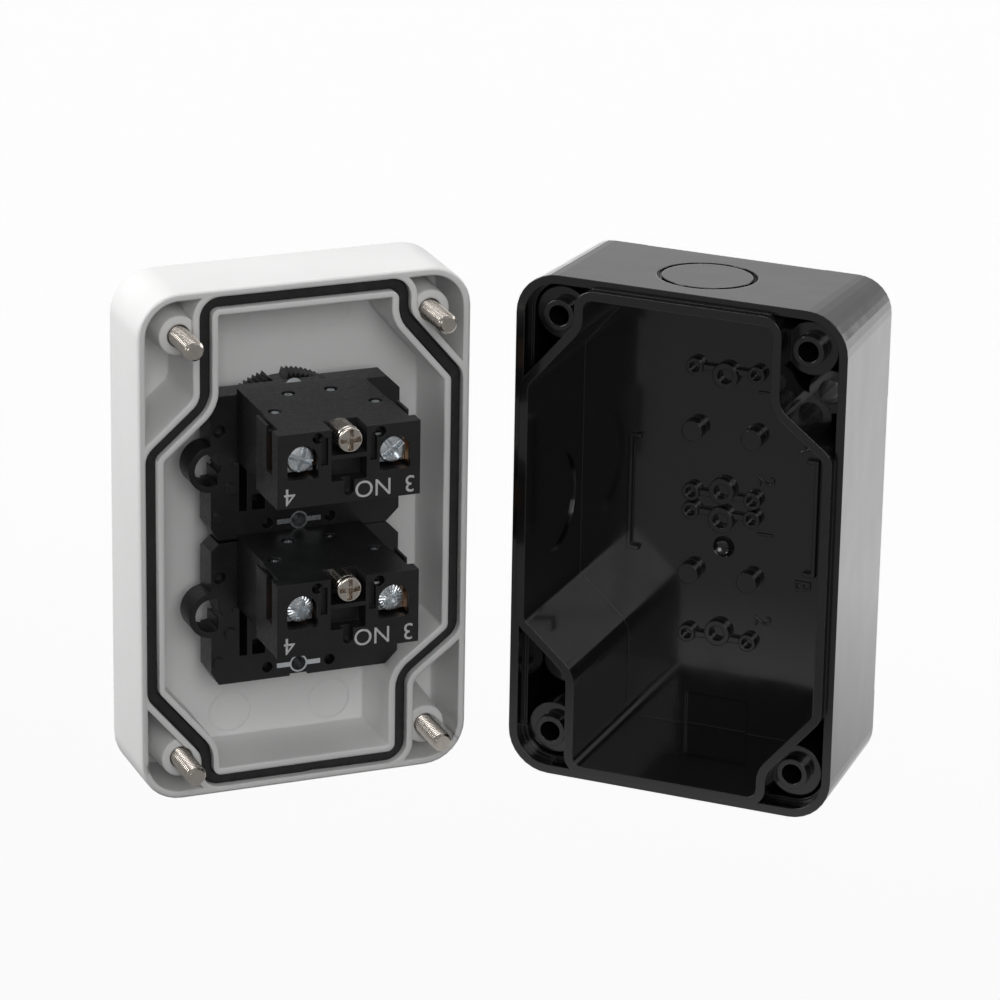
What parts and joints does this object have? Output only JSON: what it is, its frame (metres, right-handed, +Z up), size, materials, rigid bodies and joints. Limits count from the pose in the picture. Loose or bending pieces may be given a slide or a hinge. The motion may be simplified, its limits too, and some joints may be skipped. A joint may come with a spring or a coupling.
{
  "type": "push-button control station",
  "caption": "Surface-mounted push-button control station, opened: white cover with its operators and contact blocks beside the empty black base.",
  "frame": {"origin": "on the surface it stands on, under the centre of the bounding box of the opened station", "axes": "+X along the row of cover and base, +Y into the base, away from its open face, +Z up along both halves"},
  "size_m": [0.1407, 0.0842, 0.106],
  "materials": {
    "white_plastic": "satin white moulding",
    "black_gloss": "glossy black moulding",
    "black_plastic": "matt black moulding",
    "rubber": "matt black rubber",
    "nickel": "bright nickel plating",
    "zinc": "bright zinc plating",
    "copper": "bare copper alloy",
    "green_plastic": "green moulding",
    "dark_plastic": "dark grey moulding"
  },
  "bodies": {
    "base": {"base_box": "black_gloss"},
    "cover": {"cover_shell": "white_plastic", "gasket": "rubber", "upper_bezel": "black_plastic", "upper_panel_seal": "rubber", "upper_return_spring": "nickel", "upper_collar": "black_plastic", "upper_nut_strips": "zinc", "upper_block": "black_plastic", "upper_block_rivets": "zinc", "upper_clamp_plates": "zinc", "upper_contact_strips": "copper", "upper_contact_spring": "nickel", "lower_bezel": "black_plastic", "lower_panel_seal": "rubber", "lower_return_spring": "nickel", "lower_collar": "black_plastic", "lower_nut_strips": "zinc", "lower_block": "black_plastic", "lower_block_rivets": "zinc", "lower_clamp_plates": "zinc", "lower_contact_strips": "copper", "lower_contact_spring": "nickel"},
    "cover_screw_top_left": {"cover_screw_top_left": "nickel"},
    "cover_screw_top_right": {"cover_screw_top_right": "nickel"},
    "cover_screw_bottom_left": {"cover_screw_bottom_left": "nickel"},
    "cover_screw_bottom_right": {"cover_screw_bottom_right": "nickel"},
    "upper_button": {"upper_button": "green_plastic"},
    "upper_plunger": {"upper_plunger": "green_plastic", "upper_bridge": "copper"},
    "upper_lock_ring": {"upper_lock_ring": "black_plastic"},
    "upper_fixing_screw": {"upper_fixing_screw": "nickel"},
    "upper_terminal_screw_left": {"upper_terminal_screw_left": "zinc"},
    "upper_terminal_screw_right": {"upper_terminal_screw_right": "zinc"},
    "lower_button": {"lower_button": "dark_plastic"},
    "lower_plunger": {"lower_plunger": "green_plastic", "lower_bridge": "copper"},
    "lower_lock_ring": {"lower_lock_ring": "black_plastic"},
    "lower_fixing_screw": {"lower_fixing_screw": "nickel"},
    "lower_terminal_screw_left": {"lower_terminal_screw_left": "zinc"},
    "lower_terminal_screw_right": {"lower_terminal_screw_right": "zinc"}
  },
  "joints": [
    {"name": "cover_slide", "type": "slide", "parent": "base", "child": "cover", "axis": [-0.6984, 0.7157, 0], "range_m": [0, 0.06]},
    {"name": "cover_screw_top_left_turn", "type": "hinge", "parent": "cover", "child": "cover_screw_top_left", "pos_m": [-0.05141, -0.03216, 0.0973], "axis": [0.6984, -0.7157, 0], "continuous": true},
    {"name": "cover_screw_top_right_turn", "type": "hinge", "parent": "cover", "child": "cover_screw_top_right", "pos_m": [-0.01419, 0.00416, 0.0973], "axis": [0.6984, -0.7157, 0], "continuous": true},
    {"name": "cover_screw_bottom_left_turn", "type": "hinge", "parent": "cover", "child": "cover_screw_bottom_left", "pos_m": [-0.05141, -0.03216, 0.0087], "axis": [0.6984, -0.7157, 0], "continuous": true},
    {"name": "cover_screw_bottom_right_turn", "type": "hinge", "parent": "cover", "child": "cover_screw_bottom_right", "pos_m": [-0.01419, 0.00416, 0.0087], "axis": [0.6984, -0.7157, 0], "continuous": true},
    {"name": "upper_button_press", "type": "slide", "parent": "cover", "child": "upper_button", "axis": [0.6984, -0.7157, 0], "range_m": [0, 0.0032], "stiffness_N_per_m": 900, "springref_m": -0.0012, "deforming": ["upper_return_spring"]},
    {"name": "upper_plunger_slide", "type": "slide", "parent": "cover", "child": "upper_plunger", "axis": [0.6984, -0.7157, 0], "range_m": [0, 0.0032], "deforming": ["upper_contact_spring"]},
    {"name": "upper_lock_ring_turn", "type": "hinge", "parent": "cover", "child": "upper_lock_ring", "pos_m": [-0.04188, -0.0047, 0.0684], "axis": [0.6984, -0.7157, 0], "continuous": true},
    {"name": "upper_fixing_screw_turn", "type": "hinge", "parent": "cover", "child": "upper_fixing_screw", "pos_m": [-0.01883, -0.02831, 0.0818], "axis": [0.6984, -0.7157, 0], "continuous": true},
    {"name": "upper_terminal_screw_left_turn", "type": "hinge", "parent": "cover", "child": "upper_terminal_screw_left", "pos_m": [-0.02556, -0.03488, 0.0782], "axis": [0.6984, -0.7157, 0], "continuous": true},
    {"name": "upper_terminal_screw_right_turn", "type": "hinge", "parent": "cover", "child": "upper_terminal_screw_right", "pos_m": [-0.0121, -0.02175, 0.0782], "axis": [0.6984, -0.7157, 0], "continuous": true},
    {"name": "lower_button_press", "type": "slide", "parent": "cover", "child": "lower_button", "axis": [0.6984, -0.7157, 0], "range_m": [0, 0.0032], "stiffness_N_per_m": 900, "springref_m": -0.0012, "deforming": ["lower_return_spring"]},
    {"name": "lower_plunger_slide", "type": "slide", "parent": "cover", "child": "lower_plunger", "axis": [0.6984, -0.7157, 0], "range_m": [0, 0.0032], "deforming": ["lower_contact_spring"]},
    {"name": "lower_lock_ring_turn", "type": "hinge", "parent": "cover", "child": "lower_lock_ring", "pos_m": [-0.04188, -0.0047, 0.0376], "axis": [0.6984, -0.7157, 0], "continuous": true},
    {"name": "lower_fixing_screw_turn", "type": "hinge", "parent": "cover", "child": "lower_fixing_screw", "pos_m": [-0.01883, -0.02831, 0.051], "axis": [0.6984, -0.7157, 0], "continuous": true},
    {"name": "lower_terminal_screw_left_turn", "type": "hinge", "parent": "cover", "child": "lower_terminal_screw_left", "pos_m": [-0.02556, -0.03488, 0.0474], "axis": [0.6984, -0.7157, 0], "continuous": true},
    {"name": "lower_terminal_screw_right_turn", "type": "hinge", "parent": "cover", "child": "lower_terminal_screw_right", "pos_m": [-0.0121, -0.02175, 0.0474], "axis": [0.6984, -0.7157, 0], "continuous": true}
  ],
  "couplings": [
    {"joint": "upper_plunger_slide", "follows": "upper_button_press", "ratio": 1},
    {"joint": "lower_plunger_slide", "follows": "lower_button_press", "ratio": 1}
  ]
}
